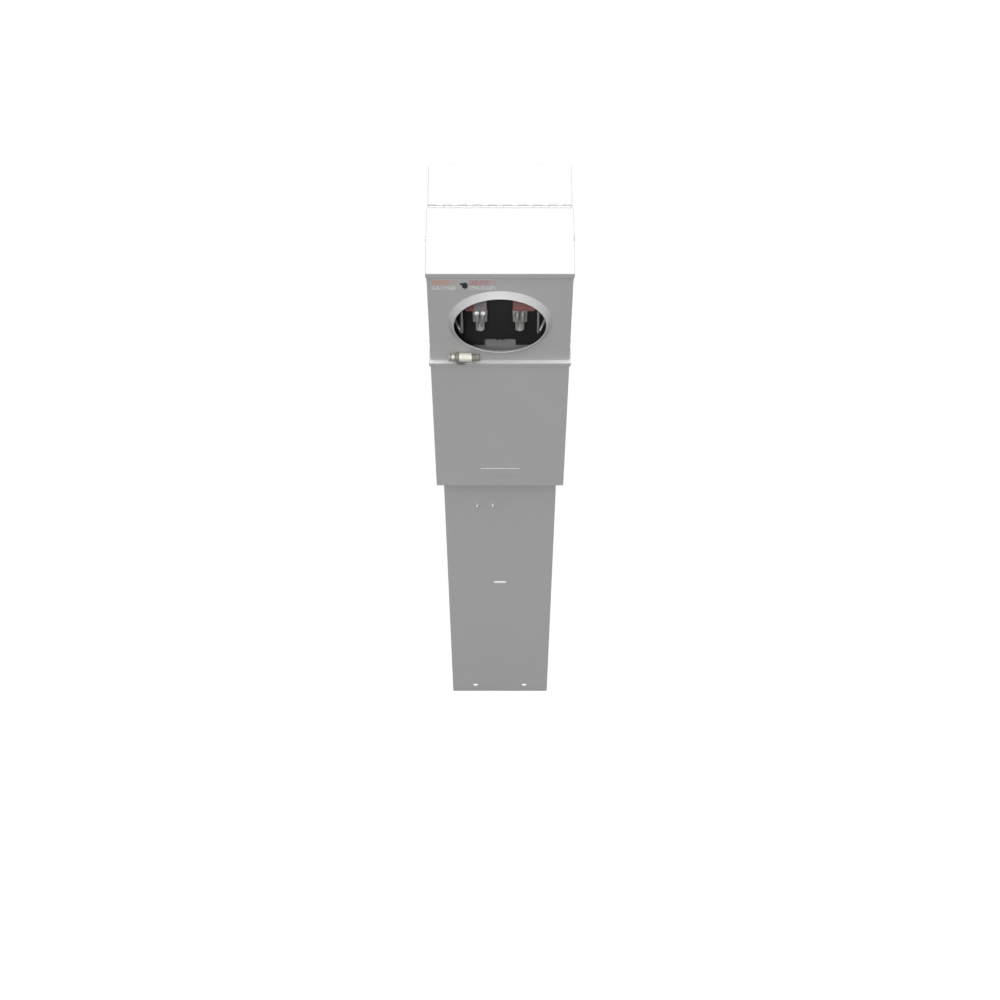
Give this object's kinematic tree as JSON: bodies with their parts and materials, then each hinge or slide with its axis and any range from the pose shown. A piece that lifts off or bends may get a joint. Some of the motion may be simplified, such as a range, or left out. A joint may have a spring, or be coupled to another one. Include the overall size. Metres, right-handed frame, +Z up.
{
  "type": "ev charging post",
  "caption": "Floor-standing metered power pedestal with a meter ring and jaws in front, a barrel latch, and breakers and vehicle outlets behind a hinged rear lid.",
  "frame": {"origin": "bottom centre of the bounding box, on the ground under the post", "axes": "+Z up, -Y the front with the meter ring, +X to the right seen from the front"},
  "size_m": [0.2606, 0.2638, 1.733],
  "materials": {
    "painted_steel": "satin powder coat",
    "pan_steel": "satin powder coat",
    "zinc_steel": "zinc plated",
    "spring_steel": "bright drawn",
    "tinned_metal": "tin plated",
    "brass_metal": "satin",
    "copper_bar": "satin copper",
    "black_plastic": "moulded",
    "red_fibre": "moulded",
    "label_print": "printed",
    "polished_metal": "polished nickel",
    "latch_steel": "blackened in the recess",
    "dark_steel": "dulled",
    "clip_steel": "dulled",
    "stainless": "brushed",
    "grey_plastic": "moulded",
    "toggle_plastic": "moulded",
    "test_plastic": "moulded",
    "reset_plastic": "moulded",
    "wire_black": "smooth",
    "wire_white": "smooth"
  },
  "bodies": {
    "pedestal": {"post_shell": "painted_steel", "post_rear_panel": "painted_steel", "rear_panel_screws": "zinc_steel", "ground_bar": "brass_metal", "ground_bar_screws": "zinc_steel", "mount_spacers": "zinc_steel", "mount_bolts": "zinc_steel", "housing_sides": "painted_steel", "housing_back": "painted_steel", "housing_cross_members": "painted_steel", "cap": "painted_steel", "housing_screws": "zinc_steel", "meter_cover": "painted_steel", "rating_label": "label_print", "latch_bracket": "dark_steel", "latch_barrel": "polished_metal", "latch_spring": "spring_steel", "socket_base": "black_plastic", "socket_pan": "pan_steel", "pan_standoffs": "zinc_steel", "load_jaws": "tinned_metal", "load_lugs": "tinned_metal", "line_jaws": "tinned_metal", "line_lugs": "tinned_metal", "jaw_springs": "spring_steel", "lug_screws": "zinc_steel", "jaw_barriers": "red_fibre", "barrier_clip": "clip_steel", "meter_guides": "spring_steel", "divider_panel": "painted_steel", "bus_insulator": "black_plastic", "load_busbars": "copper_bar", "main_breaker": "black_plastic", "ev_breaker": "black_plastic", "outlet_breaker": "black_plastic", "breaker_rail": "zinc_steel", "supply_links": "copper_bar", "ev_receptacle": "black_plastic", "duplex_receptacle": "grey_plastic", "receptacle_plates": "stainless", "plate_screws": "zinc_steel", "outlet_panel": "painted_steel", "branch_wires": "wire_black", "neutral_bar": "brass_metal", "neutral_feet": "black_plastic", "neutral_wires": "wire_white", "lid_hinge_leaf": "painted_steel", "lid_hinge_pin": "zinc_steel", "hinge_rivets": "zinc_steel", "padlock_staple": "zinc_steel"},
    "lower_cover": {"lower_cover": "painted_steel", "latch_keeper": "dark_steel"},
    "rear_lid": {"rear_lid": "painted_steel"},
    "latch_bolt": {"latch_bolt": "latch_steel", "latch_knob": "latch_steel"},
    "main_toggle": {"main_toggle": "toggle_plastic"},
    "ev_toggle": {"ev_toggle": "toggle_plastic"},
    "outlet_toggle": {"outlet_toggle": "toggle_plastic"},
    "test_button": {"test_button": "test_plastic"},
    "reset_button": {"reset_button": "reset_plastic"}
  },
  "joints": [
    {"name": "lower_cover_pull", "type": "slide", "parent": "pedestal", "child": "lower_cover", "axis": [0, -1, 0], "range_m": [0, 0.12]},
    {"name": "rear_lid_hinge", "type": "hinge", "parent": "pedestal", "child": "rear_lid", "pos_m": [0, 0.033, 1.73], "axis": [1, 0, 0], "range_deg": [0, 105]},
    {"name": "latch_bolt_slide", "type": "slide", "parent": "pedestal", "child": "latch_bolt", "axis": [-1, 0, 0], "range_m": [0, 0.0135], "stiffness_N_per_m": 300, "springref_m": -0.006, "deforming": ["latch_spring"]},
    {"name": "main_toggle_turn", "type": "hinge", "parent": "pedestal", "child": "main_toggle", "pos_m": [0, 0.076, 1.655], "axis": [1, 0, 0], "range_deg": [-40, 0]},
    {"name": "ev_toggle_turn", "type": "hinge", "parent": "pedestal", "child": "ev_toggle", "pos_m": [-0.055, 0.076, 1.655], "axis": [1, 0, 0], "range_deg": [-40, 0]},
    {"name": "outlet_toggle_turn", "type": "hinge", "parent": "pedestal", "child": "outlet_toggle", "pos_m": [0.0425, 0.076, 1.655], "axis": [1, 0, 0], "range_deg": [-40, 0]},
    {"name": "test_button_press", "type": "slide", "parent": "pedestal", "child": "test_button", "axis": [0, -1, 0], "range_m": [0, 0.0015], "stiffness_N_per_m": 400, "springref_m": -0.001},
    {"name": "reset_button_press", "type": "slide", "parent": "pedestal", "child": "reset_button", "axis": [0, -1, 0], "range_m": [0, 0.0015], "stiffness_N_per_m": 400, "springref_m": -0.001}
  ]
}
